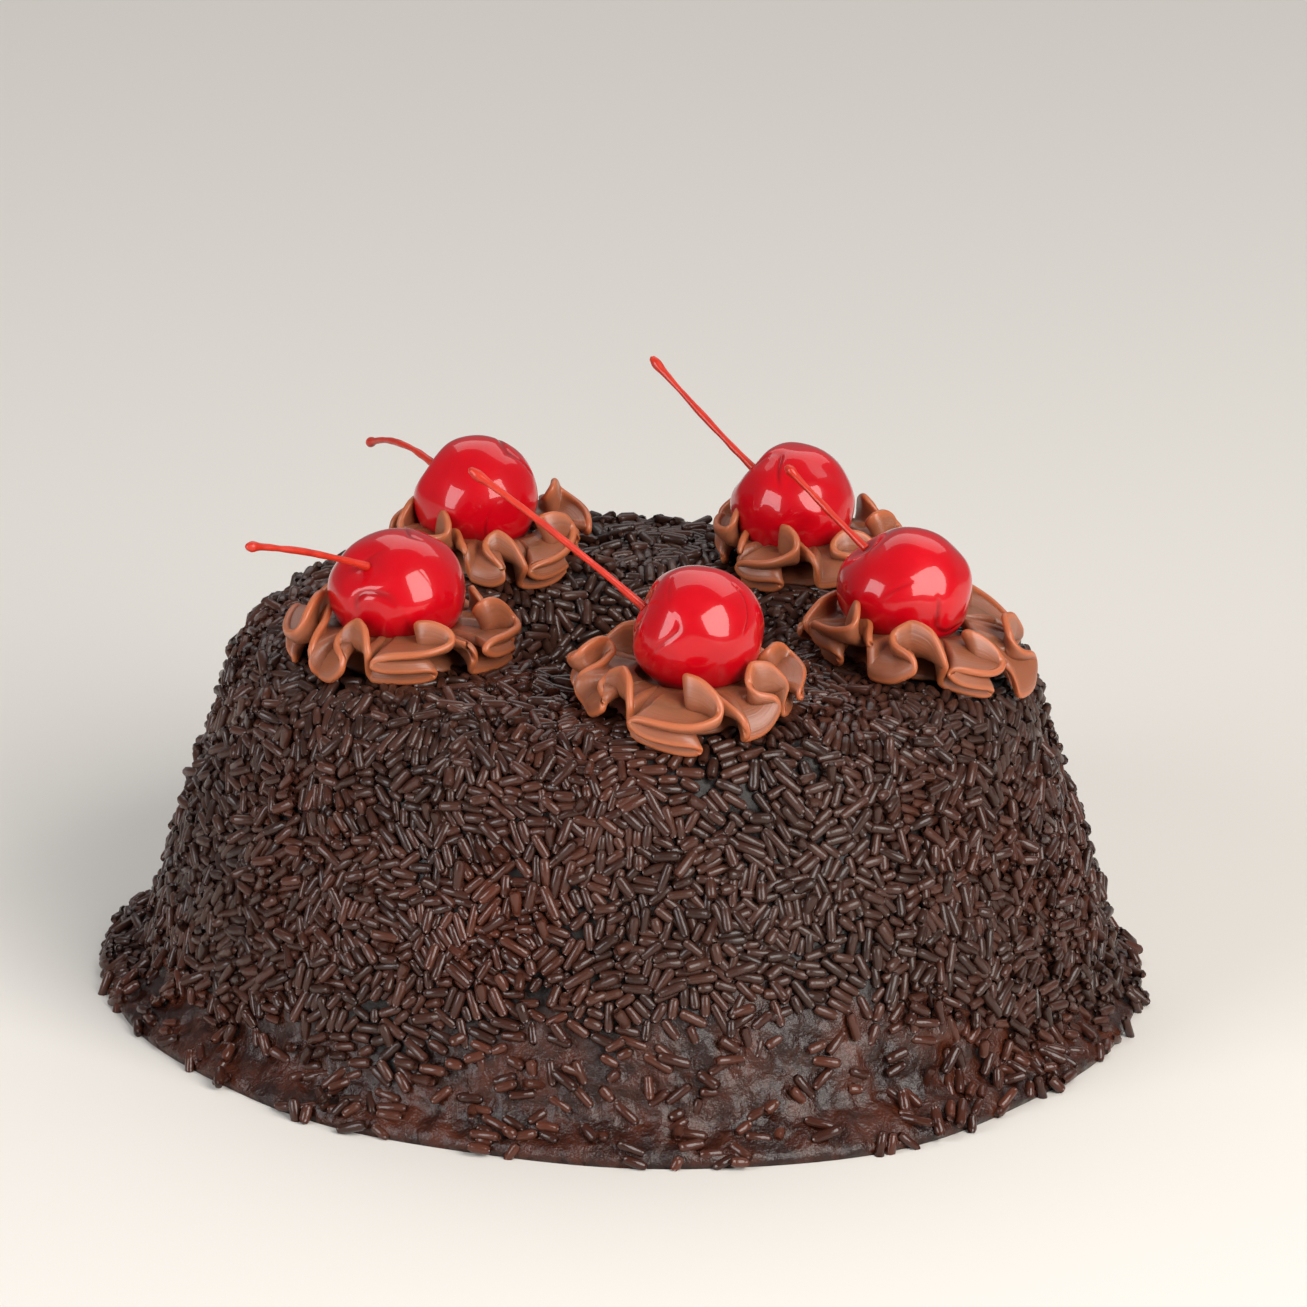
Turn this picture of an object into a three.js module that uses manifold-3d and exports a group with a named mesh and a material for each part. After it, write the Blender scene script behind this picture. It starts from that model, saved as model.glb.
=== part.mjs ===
// A ring-shaped chocolate flan, turned out of its mould and coated with chocolate sprinkles.
// Five ruffled ganache rosettes are piped round its crest, and each holds a cherry with its stem.
// Millimetres, +Z up. The origin is at the middle of the flan's underside, and the front is at -Y.
import * as THREE from 'three';
import { ConvexGeometry } from 'three/addons/geometries/ConvexGeometry.js';
import { mergeVertices } from 'three/addons/utils/BufferGeometryUtils.js';
import Module from 'manifold-3d';

// The ring. Its side leans in from the foot to the shoulder, and the tube of the mould left the hole.
const RING_HEIGHT = 64.8;
const WALL_FOOT_RADIUS = 84.4;
const WALL_LEAN = 15.2;
const WALL_BELLY = 1.2;
const WALL_LOWEST = 6.2;
const WALL_HIGHEST = 48;
const SHOULDER_ROUNDING = 14.4;
const SHOULDER_CENTRE = 55;
const SHOULDER_FIRST_ANGLE = 0.26;
const CREST_RADIUS = 46;
const CROWN_DOME = 0.5;
const HOLE_ROUNDING = 13;
const HOLE_CENTRE = 36.5;
const HOLE_LAST_ANGLE = 3.04;
const HOLE_RADII = { middle: 21.6, low: 19.6, foot: 18 };
const HOLE_HEIGHTS = { middle: 34, low: 16 };
const SAUCE_RADIUS = 89.4;
const SAUCE_THICKNESS = 3.2;
const SAUCE_EDGE_ROUNDING = { out: 0.6, up: 1.8, in: 3.2 };
const RING_SEGMENTS = 44;
const CROWN_DEPTH = 6;
const UNEVEN_DEPTH = 14;

// Waves round the ring, each [size, how many, turn, lean with height]: of its side, and of the sauce.
const SIDE_WAVES = [[0.55, 3, 0.9, 1 / 40], [0.4, 5, 2.1, -1 / 25], [0.3, 9, 0, 1 / 11]];
const SAUCE_WAVES = [[0.9, 4, 0.5, 0], [0.6, 6, 1.9, 0], [0.35, 11, 0, 0]];

// The coat of sprinkles: short chocolate rods, of which the solid carries the most prominent.
const SPRINKLE_RADIUS = 1.05;
const SPRINKLE_LENGTH = [5.2, 7.2];
const SPRINKLE_SIDES = 5;
const SPRINKLE_PLACES = 136;
const SPRINKLE_LIFT = 0.6;
const SPRINKLE_LOWEST = 7;
const SPRINKLE_MARGIN = 5.2;
const SPRINKLE_SEED = 11;

// The rosettes: a ribbon piped round and round in folds, on a small mound of its own cream. A fold is
// given by steps of [along, up, out]: shares of the lobe's width, of its rise and of the rosette's
// radius. A lying fold doubles back over itself and climbs to a peak at the cherry, and an upright one
// stands on edge. An unevenness is [share, pace]: how much a lobe may differ, and how fast that changes.
const LYING_FOLD = { width: 1.2, steps: [[-0.05, 0.02, 0.84], [0.55, 0.05, 0.9], [0.5, 0.33, 0.94],
  [0.04, 0.38, 0.95], [0.1, 0.64, 0.93], [0.52, 1, 0.64], [0.66, 0.88, 0.64], [0.88, 0.84, 0.92]] };
const UPRIGHT_FOLD = { width: 0.8, steps: [[-0.03, 0.03, 0.9], [0.46, 0.24, 0.99], [0.5, 0.58, 0.97],
  [0.22, 0.74, 0.8], [0.5, 1, 0.66], [0.9, 0.8, 0.9]] };
const LOBE_FOLDS = [LYING_FOLD, UPRIGHT_FOLD, LYING_FOLD, LYING_FOLD, UPRIGHT_FOLD, LYING_FOLD, UPRIGHT_FOLD];
const WIDTH_UNEVENNESS = [0.12, 2.3];
const RISE_UNEVENNESS = [0.1, 1.7];
const REACH_UNEVENNESS = [0.05, 3.7];
const FOLD_RISE = 10.8;
const RIBBON_HALF_THICKNESS = 0.85;
const RIBBON_FOOT_HEIGHT = 1.2;
const ROOT_RADIUS = 8.5;
const ROOT_RISE_SHARE = 0.1;
const ROOT_SWING = 0.5;
const MOUND_SECTION = [[0, 0.3], [6, 0.4], [12.6, 0.5], [12.2, 1.9], [9, 3.6], [0, 3.6]];
const MOUND_SEGMENTS = 14;
const DRAPE_LIMITS = [31, 62];
const ROSETTE_REACH = 22;

// The cherries and their stems.
const CHERRY_SEGMENTS = 11;
const CHERRY_RINGS = 8;
const CHERRY_DIMPLE = 0.16;
const CHERRY_DIMPLE_WIDTH = 0.36;
const STEM_RADIUS = 0.62;
const STEM_KNOB_RADIUS = 0.98;
const STEM_SIDES = 5;

const CLEARANCE = 0.3;
const SHORTEST_EDGE = 0.01;
const TWO_PI = 2 * Math.PI;

// Each rosette with its cherry, from the front one round to the right. centre and cherry are places,
// wide and tall the cherry's half width and half height, and stem runs from its root to its knob.
const TOPPINGS = [
  { name: 1, centre: [8.9, -45.3], radius: 19.4, turn: -118, cherry: [10.7, -45.3, 78.6],
    wide: 11.1, tall: 11.0, root: [-11, 0, 4.5], bend: [-25, 4, 16], knob: [-38.7, 10, 23.5] },
  { name: 2, centre: [-38.9, -22], radius: 19.6, turn: 155, cherry: [-40.1, -22, 76.4],
    wide: 11.6, tall: 10.5, root: [-6, -7, 7], bend: [-16, -14, 11.5], knob: [-24.5, -20, 13.1] },
  { name: 3, centre: [-26.4, 34], radius: 17.3, turn: 200, cherry: [-28.9, 33.5, 76.4],
    wide: 11.0, tall: 10.5, root: [-9, 3, 5.6], bend: [-15, 11, 8], knob: [-20, 21, 2.6] },
  { name: 4, centre: [30, 35.6], radius: 17.5, turn: 60, cherry: [27.2, 35.4, 76.3],
    wide: 10.9, tall: 10.5, root: [-8.6, 3, 6.4], bend: [-17, 11, 12.5], knob: [-25.9, 18, 20.6] },
  { name: 5, centre: [48.4, -13.6], radius: 19.8, turn: -75, cherry: [45.8, -13.1, 76.7],
    wide: 11.6, tall: 10.6, root: [-8, 1, 8], bend: [-14.5, 6, 12.5], knob: [-20.6, 10, 18] },
];

const COLOURS = {
  chocolate: new THREE.MeshStandardMaterial({ color: 0x2e1a14, roughness: 0.42, metalness: 0 }),
  ganache: new THREE.MeshStandardMaterial({ color: 0x99603f, roughness: 0.45, metalness: 0 }),
  cherry: new THREE.MeshStandardMaterial({ color: 0xd40a1c, roughness: 0.12, metalness: 0 }),
  stem: new THREE.MeshStandardMaterial({ color: 0xa8231a, roughness: 0.3, metalness: 0 }),
};

const wasm = await Module();
wasm.setup();

/** A closed three.js geometry as a manifold solid. */
function toSolid(geometry) {
  const bare = geometry.clone();
  bare.deleteAttribute('normal');
  bare.deleteAttribute('uv');
  const merged = mergeVertices(bare, 1e-4);
  return new wasm.Manifold(new wasm.Mesh({
    numProp: 3,
    vertProperties: new Float32Array(merged.attributes.position.array),
    triVerts: new Uint32Array(merged.index.array),
  }));
}

/** The largest body of a solid, without the loose scraps and the hair-thin facets that a cut leaves. */
function withoutScraps(solid) {
  const bodies = solid.simplify(SHORTEST_EDGE).decompose();
  return bodies.reduce((kept, body) => (body.volume() > kept.volume() ? body : kept));
}

/** A manifold solid as a three.js geometry. */
function toGeometry(solid) {
  const mesh = solid.getMesh();
  const geometry = new THREE.BufferGeometry();
  geometry.setAttribute('position', new THREE.BufferAttribute(mesh.vertProperties, 3));
  geometry.setIndex(new THREE.BufferAttribute(mesh.triVerts, 1));
  geometry.computeVertexNormals();
  return geometry;
}

/** Moves every vertex of a geometry to where change, a function of a Vector3, puts it. */
function reshape(geometry, change) {
  const places = geometry.attributes.position;
  const point = new THREE.Vector3();
  for (let i = 0; i < places.count; i += 1) {
    point.fromBufferAttribute(places, i);
    change(point);
    places.setXYZ(i, point.x, point.y, point.z);
  }
  return geometry;
}

/** A repeatable stream of numbers from 0 to 1. */
function seededNumbers(seed) {
  let state = seed;
  return () => {
    state = (state + 0x6d2b79f5) | 0;
    let t = Math.imul(state ^ (state >>> 15), 1 | state);
    t = (t + Math.imul(t ^ (t >>> 7), 61 | t)) ^ t;
    return ((t ^ (t >>> 14)) >>> 0) / 4294967296;
  };
}

/** count numbers spread evenly from first to last. */
function spread(first, last, count) {
  return Array.from({ length: count }, (_, i) => first + ((last - first) * i) / (count - 1));
}

/** The radius of the leaning outer side at height z: a straight line with a slight belly. */
function wallRadius(z) {
  const share = z / (RING_HEIGHT - SHOULDER_ROUNDING);
  return WALL_FOOT_RADIUS - WALL_LEAN * share + WALL_BELLY * Math.sin(Math.PI * Math.min(share, 1));
}

/** The ring's section from its foot over the crest and down the hole, as [radius, height] points. */
function ringSection() {
  const top = RING_HEIGHT - CROWN_DOME;
  const wall = spread(WALL_LOWEST, WALL_HIGHEST, 4).map((z) => [wallRadius(z), z]);
  const shoulder = spread(SHOULDER_FIRST_ANGLE, Math.PI / 2, 4).map((a) => [
    SHOULDER_CENTRE + SHOULDER_ROUNDING * Math.cos(a),
    top - SHOULDER_ROUNDING * (1 - Math.sin(a)),
  ]);
  const hole = spread(Math.PI / 2, HOLE_LAST_ANGLE, 4).map((a) => [
    HOLE_CENTRE + HOLE_ROUNDING * Math.cos(a),
    top - HOLE_ROUNDING * (1 - Math.sin(a)),
  ]);
  const holeWall = [
    [HOLE_RADII.middle, HOLE_HEIGHTS.middle],
    [HOLE_RADII.low, HOLE_HEIGHTS.low],
    [HOLE_RADII.foot, 0],
  ];
  const sauce = [
    [SAUCE_RADIUS, 0],
    [SAUCE_RADIUS - SAUCE_EDGE_ROUNDING.out, SAUCE_EDGE_ROUNDING.up],
    [SAUCE_RADIUS - SAUCE_EDGE_ROUNDING.in, SAUCE_THICKNESS],
  ];
  return [...sauce, ...wall, ...shoulder, [CREST_RADIUS, RING_HEIGHT], ...hole, ...holeWall];
}

/** The sum of waves at a turn and height. */
function sumOfWaves(waves, turn, z) {
  return waves.reduce((sum, [size, count, shift, lean]) =>
    sum + size * Math.sin(count * turn + shift + lean * z), 0);
}

/** How far the hand-made ring stands out of true at a turn and height, none on its crown. */
function unevenness(turn, z) {
  const belowCrown = THREE.MathUtils.smoothstep(RING_HEIGHT - CROWN_DEPTH - z, 0, UNEVEN_DEPTH);
  return belowCrown * sumOfWaves(SIDE_WAVES, turn, z);
}

/** The ring as a solid: its section turned round the axis, and then made slightly uneven. */
function makeRing() {
  const outline = ringSection();
  const closed = [...outline, outline[0]].map(([radius, z]) => new THREE.Vector2(radius, z));
  const lathe = new THREE.LatheGeometry(closed, RING_SEGMENTS);
  lathe.rotateX(Math.PI / 2);
  reshape(lathe, (point) => {
    const turn = Math.atan2(point.y, point.x);
    const radius = Math.hypot(point.x, point.y);
    const isSauce = point.z < WALL_LOWEST && radius > WALL_FOOT_RADIUS;
    const out = isSauce ? sumOfWaves(SAUCE_WAVES, turn, 0) : unevenness(turn, point.z);
    point.x *= 1 + out / radius;
    point.y *= 1 + out / radius;
  });
  return toSolid(lathe);
}

/** Places on the ring's skin, spread evenly by a spiral of golden angles over its area. */
function sprinklePlaces() {
  const section = ringSection().slice(3);
  const steps = section.slice(1).map(([radius, z], i) => {
    const [lastRadius, lastZ] = section[i];
    const length = Math.hypot(radius - lastRadius, z - lastZ);
    return { area: length * (radius + lastRadius), from: [lastRadius, lastZ], to: [radius, z] };
  });
  const whole = steps.reduce((sum, step) => sum + step.area, 0);
  const goldenAngle = Math.PI * (3 - Math.sqrt(5));
  return Array.from({ length: SPRINKLE_PLACES }, (_, i) => {
    let left = (whole * (i + 0.5)) / SPRINKLE_PLACES;
    let k = 0;
    while (k < steps.length - 1 && left > steps[k].area) {
      left -= steps[k].area;
      k += 1;
    }
    const { from, to, area } = steps[k];
    const share = Math.min(left / area, 1);
    const slope = Math.atan2(from[0] - to[0], to[1] - from[1]);
    return {
      radius: from[0] + (to[0] - from[0]) * share,
      z: from[1] + (to[1] - from[1]) * share,
      slope,
      turn: i * goldenAngle,
    };
  });
}

/** Whether a sprinkle at this place stays clear of every rosette. */
function isClearOfRosettes(x, y, z) {
  return z < RING_HEIGHT - ROSETTE_REACH || TOPPINGS.every(({ centre, radius }) =>
    Math.hypot(x - centre[0], y - centre[1]) > radius + SPRINKLE_MARGIN);
}

/** The sprinkles that the solid carries: rods lying half sunk in the skin, each turned its own way. */
function makeSprinkles() {
  const next = seededNumbers(SPRINKLE_SEED);
  const rods = [];
  for (const place of sprinklePlaces()) {
    const [shortest, longest] = SPRINKLE_LENGTH;
    const length = shortest + (longest - shortest) * next();
    const lying = Math.PI * next();
    const radius = place.radius + unevenness(place.turn, place.z);
    const x = radius * Math.cos(place.turn);
    const y = radius * Math.sin(place.turn);
    if (place.z < SPRINKLE_LOWEST || !isClearOfRosettes(x, y, place.z)) {
      continue;
    }
    const rod = new THREE.CapsuleGeometry(SPRINKLE_RADIUS, length - 2 * SPRINKLE_RADIUS, 1, SPRINKLE_SIDES);
    const outward = new THREE.Vector3(Math.cos(place.slope), 0, Math.sin(place.slope));
    rod.rotateX(lying);
    rod.translate(SPRINKLE_LIFT, 0, 0);
    rod.rotateY(-Math.atan2(outward.z, outward.x));
    rod.rotateZ(place.turn);
    rod.translate(x, y, place.z);
    rods.push(toSolid(rod));
  }
  return rods;
}

/** The height on which a rosette rests at a distance from the axis: the crown, eased past its edges. */
function restingHeight(distance) {
  const [inner, outer] = DRAPE_LIMITS;
  const held = THREE.MathUtils.clamp(distance, inner, outer);
  const top = RING_HEIGHT - CROWN_DOME;
  const rounding = held > SHOULDER_CENTRE ? SHOULDER_ROUNDING : HOLE_ROUNDING;
  const past = Math.max(held - SHOULDER_CENTRE, HOLE_CENTRE - held, 0);
  const depth = Math.sqrt(rounding ** 2 - past ** 2);
  const onCrown = past > 0 ? top - rounding + depth
    : RING_HEIGHT - CROWN_DOME * ((held - CREST_RADIUS) / (SHOULDER_CENTRE - CREST_RADIUS)) ** 2;
  return onCrown - (Math.abs(distance - held) * past) / depth;
}

/** The rosette's lobes, uneven as piped: each one's fold, where it starts, its width, rise and reach. */
function lobesOf({ turn, name, radius }) {
  const uneven = ([share, pace], k) => 1 + share * Math.sin(pace * k + name);
  const widths = LOBE_FOLDS.map((fold, k) => fold.width * uneven(WIDTH_UNEVENNESS, k));
  const whole = widths.reduce((sum, width) => sum + width, 0);
  let start = THREE.MathUtils.degToRad(turn);
  return LOBE_FOLDS.map((fold, k) => {
    const angle = (TWO_PI * widths[k]) / whole;
    const lobe = {
      steps: fold.steps,
      start,
      angle,
      rise: FOLD_RISE * uneven(RISE_UNEVENNESS, k),
      reach: radius * uneven(REACH_UNEVENNESS, k),
    };
    start += angle;
    return lobe;
  });
}

/** A point of a rosette at a turn and reach from its middle, and at a height over what it rests on. */
function overCrown({ centre }, turn, reach, height) {
  const x = centre[0] + reach * Math.cos(turn);
  const y = centre[1] + reach * Math.sin(turn);
  return new THREE.Vector3(x, y, restingHeight(Math.hypot(x, y)) + height);
}

/** The ribbon's rim and its root, beside the cherry, at every step of a lobe; the root swings less. */
function lobeCourse(topping, lobe) {
  return lobe.steps.map(([along, up, out], i) => {
    const steady = i / lobe.steps.length;
    const rootAlong = THREE.MathUtils.lerp(steady, along, ROOT_SWING);
    const rise = lobe.rise * up;
    return {
      root: overCrown(topping, lobe.start + lobe.angle * rootAlong, ROOT_RADIUS,
        RIBBON_FOOT_HEIGHT + rise * ROOT_RISE_SHARE),
      rim: overCrown(topping, lobe.start + lobe.angle * along, lobe.reach * out, RIBBON_FOOT_HEIGHT + rise),
    };
  });
}

/** The ribbon's sections, each of three corners: its root, and the two sides of its rim. */
function ribbonSections(topping) {
  const steps = lobesOf(topping).flatMap((lobe) => lobeCourse(topping, lobe));
  return steps.map(({ root, rim }, i) => {
    const along = steps[(i + 1) % steps.length].rim.clone().sub(steps.at(i - 1).rim);
    const outward = rim.clone().sub(root).setZ(0);
    const side = along.cross(outward).setLength(RIBBON_HALF_THICKNESS);
    return [root, rim.clone().add(side), rim.clone().sub(side)];
  });
}

/** The ribbon as a solid: a convex panel between every two neighbouring sections, all joined. */
function makeRibbon(topping) {
  const sections = ribbonSections(topping);
  return wasm.Manifold.union(sections.map((section, i) =>
    toSolid(new ConvexGeometry([...sections.at(i - 1), ...section]))));
}

/** The mound of cream under the cherry, lying on the ring's crown. */
function makeMound({ centre }) {
  const section = MOUND_SECTION.map(([radius, z]) => new THREE.Vector2(radius, z));
  const mound = new THREE.LatheGeometry(section, MOUND_SEGMENTS);
  mound.rotateX(Math.PI / 2);
  return toSolid(reshape(mound, (point) => {
    point.x += centre[0];
    point.y += centre[1];
    point.z += restingHeight(Math.hypot(point.x, point.y));
  }));
}

/** A rosette: the ribbon round its mound, with a seat for the cherry pressed into it. */
function makeRosette(topping) {
  const seat = toSolid(makeCherryShape(topping, CLEARANCE));
  return withoutScraps(makeMound(topping).add(makeRibbon(topping)).subtract(seat));
}

/** A cherry: a squashed ball with a dimple where its stem grows, larger by margin all round. */
function makeCherryShape({ cherry, wide, tall, root }, margin) {
  const ball = new THREE.SphereGeometry(1, CHERRY_SEGMENTS, CHERRY_RINGS);
  const stemward = new THREE.Vector3(...root).normalize();
  ball.applyQuaternion(new THREE.Quaternion().setFromUnitVectors(new THREE.Vector3(0, 1, 0), stemward));
  return reshape(ball, (point) => {
    const dimple = CHERRY_DIMPLE * Math.exp(-((point.angleTo(stemward) / CHERRY_DIMPLE_WIDTH) ** 2));
    point.multiplyScalar(1 - dimple);
    point.set(point.x * (wide + margin), point.y * (wide + margin), point.z * (tall + margin));
    point.add(new THREE.Vector3(...cherry));
  });
}

/** A stem: a thin rod, bent along a curve, that swells at its root and ends in a knob. */
function makeStem({ cherry, wide, tall, root, bend, knob }) {
  const middle = new THREE.Vector3(...cherry);
  const stemward = new THREE.Vector3(...root).normalize();
  const dimpleFloor = 1 - CHERRY_DIMPLE + CLEARANCE / wide;
  const foot = stemward.clone().multiply(new THREE.Vector3(wide, wide, tall)).multiplyScalar(dimpleFloor);
  const curve = new THREE.QuadraticBezierCurve3(
    foot.add(middle),
    new THREE.Vector3(...bend).add(middle),
    new THREE.Vector3(...knob).add(middle),
  );
  const girths = [
    [0, 0], [0, 1.25], [0.12, 1], [0.3, 0.88], [0.5, 1.05], [0.7, 0.85], [0.88, 1],
    [0.95, STEM_KNOB_RADIUS / STEM_RADIUS], [1, 1.2], [1, 0],
  ];
  const profile = girths.map(([share, girth]) => new THREE.Vector2(girth * STEM_RADIUS, share));
  const rod = new THREE.LatheGeometry(profile, STEM_SIDES);
  return reshape(rod, (point) => {
    const share = THREE.MathUtils.clamp(point.y, 0, 1);
    const along = curve.getTangent(share);
    const across = new THREE.Vector3(0, 0, 1).cross(along).normalize();
    const upward = along.clone().cross(across);
    const { x, z } = point;
    point.copy(curve.getPoint(share)).addScaledVector(across, z).addScaledVector(upward, x);
  });
}

/** The flan's body: the ring with its sprinkles fused on. */
function makeBody() {
  return withoutScraps(wasm.Manifold.union([makeRing(), ...makeSprinkles()]));
}

/** Adds a named mesh of one geometry and one finish to the flan. */
function addPiece(group, name, geometry, material) {
  const piece = new THREE.Mesh(geometry, material);
  piece.name = name;
  group.add(piece);
}

const flan = new THREE.Group();
addPiece(flan, 'flan_body', toGeometry(makeBody()), COLOURS.chocolate);
for (const topping of TOPPINGS) {
  addPiece(flan, `rosette_${topping.name}`, toGeometry(makeRosette(topping)), COLOURS.ganache);
  addPiece(flan, `cherry_${topping.name}`, makeCherryShape(topping, 0), COLOURS.cherry);
  addPiece(flan, `stem_${topping.name}`, makeStem(topping), COLOURS.stem);
}

export default flan;
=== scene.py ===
"""A chocolate flan: a ring set in a tall mould, coated in chocolate sprinkles, with five piped rosettes
of ganache on its crown and a glossy cherry with its stem on each. Shapes are worked out in millimetres."""

import math

import bpy
import numpy as np
from mathutils import Matrix, Vector


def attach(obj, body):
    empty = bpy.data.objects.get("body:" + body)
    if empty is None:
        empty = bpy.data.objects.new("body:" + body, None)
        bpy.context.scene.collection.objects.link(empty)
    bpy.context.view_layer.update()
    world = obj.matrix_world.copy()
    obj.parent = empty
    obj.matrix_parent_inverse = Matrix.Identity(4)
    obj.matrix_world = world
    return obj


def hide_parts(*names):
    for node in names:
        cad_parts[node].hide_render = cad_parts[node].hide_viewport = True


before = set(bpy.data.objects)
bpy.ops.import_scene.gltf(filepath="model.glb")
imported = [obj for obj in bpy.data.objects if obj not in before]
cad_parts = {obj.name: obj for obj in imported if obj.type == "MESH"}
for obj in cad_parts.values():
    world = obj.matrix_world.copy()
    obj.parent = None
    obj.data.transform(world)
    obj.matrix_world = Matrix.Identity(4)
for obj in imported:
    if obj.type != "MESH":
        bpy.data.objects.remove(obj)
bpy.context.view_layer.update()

# ---------------------------------------------------------------------------------------------
# The ring: cold set chocolate flan, turned out of its mould and brushed all over with a wet dark
# glaze. At its foot the glaze has run down into a thick grainy sauce, which spreads in a low rim.
# ---------------------------------------------------------------------------------------------
MM = 0.001
RING_HEIGHT = 64.8
CROWN_TOP = 64.3
CREST_RADIUS = 46
SHOULDER_CENTRE = 55
SHOULDER_ROUNDING = 14.4
CROWN_DOME = 0.5
WALL_FOOT_RADIUS = 84.4
WALL_LEAN = 15.2
WALL_BELLY = 1.2
WALL_LOWEST = 6.2
HOLE_CENTRE = 36.5
HOLE_ROUNDING = 13
HOLE_LAST_ANGLE = 3.04
HOLE_WALL = [(21.6, 34), (19.6, 16), (18, 0)]
SAUCE_RADIUS = 89.4
SAUCE_INNER_RADIUS = 80
SAUCE_THICKNESS = 3.2
SECTION_STEPS = 2000
EASED_STEPS = 20
# Waves round the ring, each (size, how many, shift, lean with height). The side's waves stop at the
# even depth below the top, and are at their full size the uneven depth further down.
SIDE_WAVES = [(0.55, 3, 0.9, 1 / 40), (0.4, 5, 2.1, -1 / 25), (0.3, 9, 0, 1 / 11)]
SAUCE_WAVES = [(0.9, 4, 0.5, 0), (0.6, 6, 1.9, 0), (0.35, 11, 0, 0)]
EVEN_DEPTH = 6
UNEVEN_DEPTH = 14
# How high the bare sauce reaches up the side at each turn, in degrees from the right, the height
# over which the sprinkles thin out, and the waves of its edge.
SAUCE_TURNS = [-180, -164, -150, -132, -117, -104, -96, -86, -74, -64, -53, -38, -22, 0, 40, 90, 130]
SAUCE_REACH = [2, 6, 12, 13, 12, 17, 20, 22, 24, 25, 22, 13, 7, 2, 1, 3, 1]
SAUCE_FADE = 9
SAUCE_EDGE_WAVES = [(2.2, 13, 0, 0), (1.6, 29, 1, 0)]
RING_COLUMNS = 660
RING_ROWS = 150
# Lumps, each (size, length, seed): of the glaze, which lies a little low, and of the thicker sauce.
GLAZE_LUMPS = [(0.16, 9, 1), (0.10, 3.2, 2)]
GLAZE_SINK = 0.15
SAUCE_LUMPS = [(0.22, 4.2, 3), (0.13, 1.7, 4)]
SAUCE_RAISE = 0.6
RELIEF_FADE = 1.5
PLANE_WAVES = 28


def smoothstep(low, high, value):
    """0 below low, 1 above high, and 3t^2 - 2t^3 of the share t between them."""
    share = np.clip((value - low) / (high - low), 0, 1)
    return share * share * (3 - 2 * share)


def waves(sizes, turn, height):
    """The sum of size * sin(count * turn + shift + lean * height) over the given waves."""
    return sum(size * np.sin(count * turn + shift + lean * height) for size, count, shift, lean in sizes)


def ripples(points, length, seed):
    """A smooth random field of mean 0 and spread 1: a sum of plane waves, about length long each."""
    draw = np.random.default_rng(seed)
    directions = draw.normal(size=(PLANE_WAVES, 3))
    directions /= np.linalg.norm(directions, axis=1, keepdims=True)
    pace = 2 * np.pi / length * draw.uniform(0.7, 1.3, (PLANE_WAVES, 1))
    shifts = draw.uniform(0, 2 * np.pi, PLANE_WAVES)
    return np.cos(points @ (pace * directions).T + shifts).sum(axis=1) * math.sqrt(2 / PLANE_WAVES)


def lumps(points, sizes):
    """The sum of size * ripples over the given lumps."""
    return sum(size * ripples(points, length, seed) for size, length, seed in sizes)


def wall_radius(height):
    """The leaning side: a straight line with a slight belly of one half sine wave."""
    share = height / (RING_HEIGHT - SHOULDER_ROUNDING)
    return WALL_FOOT_RADIUS - WALL_LEAN * share + WALL_BELLY * np.sin(np.pi * np.minimum(share, 1))


def crown_height(radius):
    """The low dome of the crown: a parabola that falls by the dome's depth from crest to shoulder."""
    return RING_HEIGHT - CROWN_DOME * ((radius - CREST_RADIUS) / (SHOULDER_CENTRE - CREST_RADIUS)) ** 2


def ring_section():
    """The ring's section from the sauce's edge, up the side, over the crown and down the hole, as
    radii and heights at even steps of its length, with its corners eased by a short running mean."""
    edge = np.linspace(0, np.pi / 2, 8)
    wall = np.linspace(WALL_LOWEST, CROWN_TOP - SHOULDER_ROUNDING, 40)[:-1]
    arc = np.linspace(0, np.pi / 2, 24)
    crown = np.linspace(SHOULDER_CENTRE, HOLE_CENTRE, 20)[1:-1]
    bend = np.linspace(np.pi / 2, HOLE_LAST_ANGLE, 24)
    radius = np.concatenate([
        SAUCE_RADIUS - SAUCE_THICKNESS * (1 - np.cos(edge)), wall_radius(wall),
        SHOULDER_CENTRE + SHOULDER_ROUNDING * np.cos(arc), crown,
        HOLE_CENTRE + HOLE_ROUNDING * np.cos(bend), [r for r, _ in HOLE_WALL]])
    height = np.concatenate([
        SAUCE_THICKNESS * np.sin(edge), wall,
        CROWN_TOP - SHOULDER_ROUNDING * (1 - np.sin(arc)),
        crown_height(crown),
        CROWN_TOP - HOLE_ROUNDING * (1 - np.sin(bend)), [z for _, z in HOLE_WALL]])
    length = np.concatenate([[0], np.cumsum(np.hypot(np.diff(radius), np.diff(height)))])
    even = np.linspace(0, length[-1], SECTION_STEPS)
    mean = np.ones(2 * EASED_STEPS + 1) / (2 * EASED_STEPS + 1)
    eased = [np.interp(even, length, values) for values in (radius, height)]
    for values in eased:
        values[EASED_STEPS:-EASED_STEPS] = np.convolve(values, mean, mode="valid")
    return even, eased[0], eased[1]


SECTION_LENGTH, SECTION_RADIUS, SECTION_HEIGHT = ring_section()
SECTION_SLOPE = np.unwrap(np.arctan2(np.gradient(SECTION_HEIGHT), np.gradient(SECTION_RADIUS)))


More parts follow.
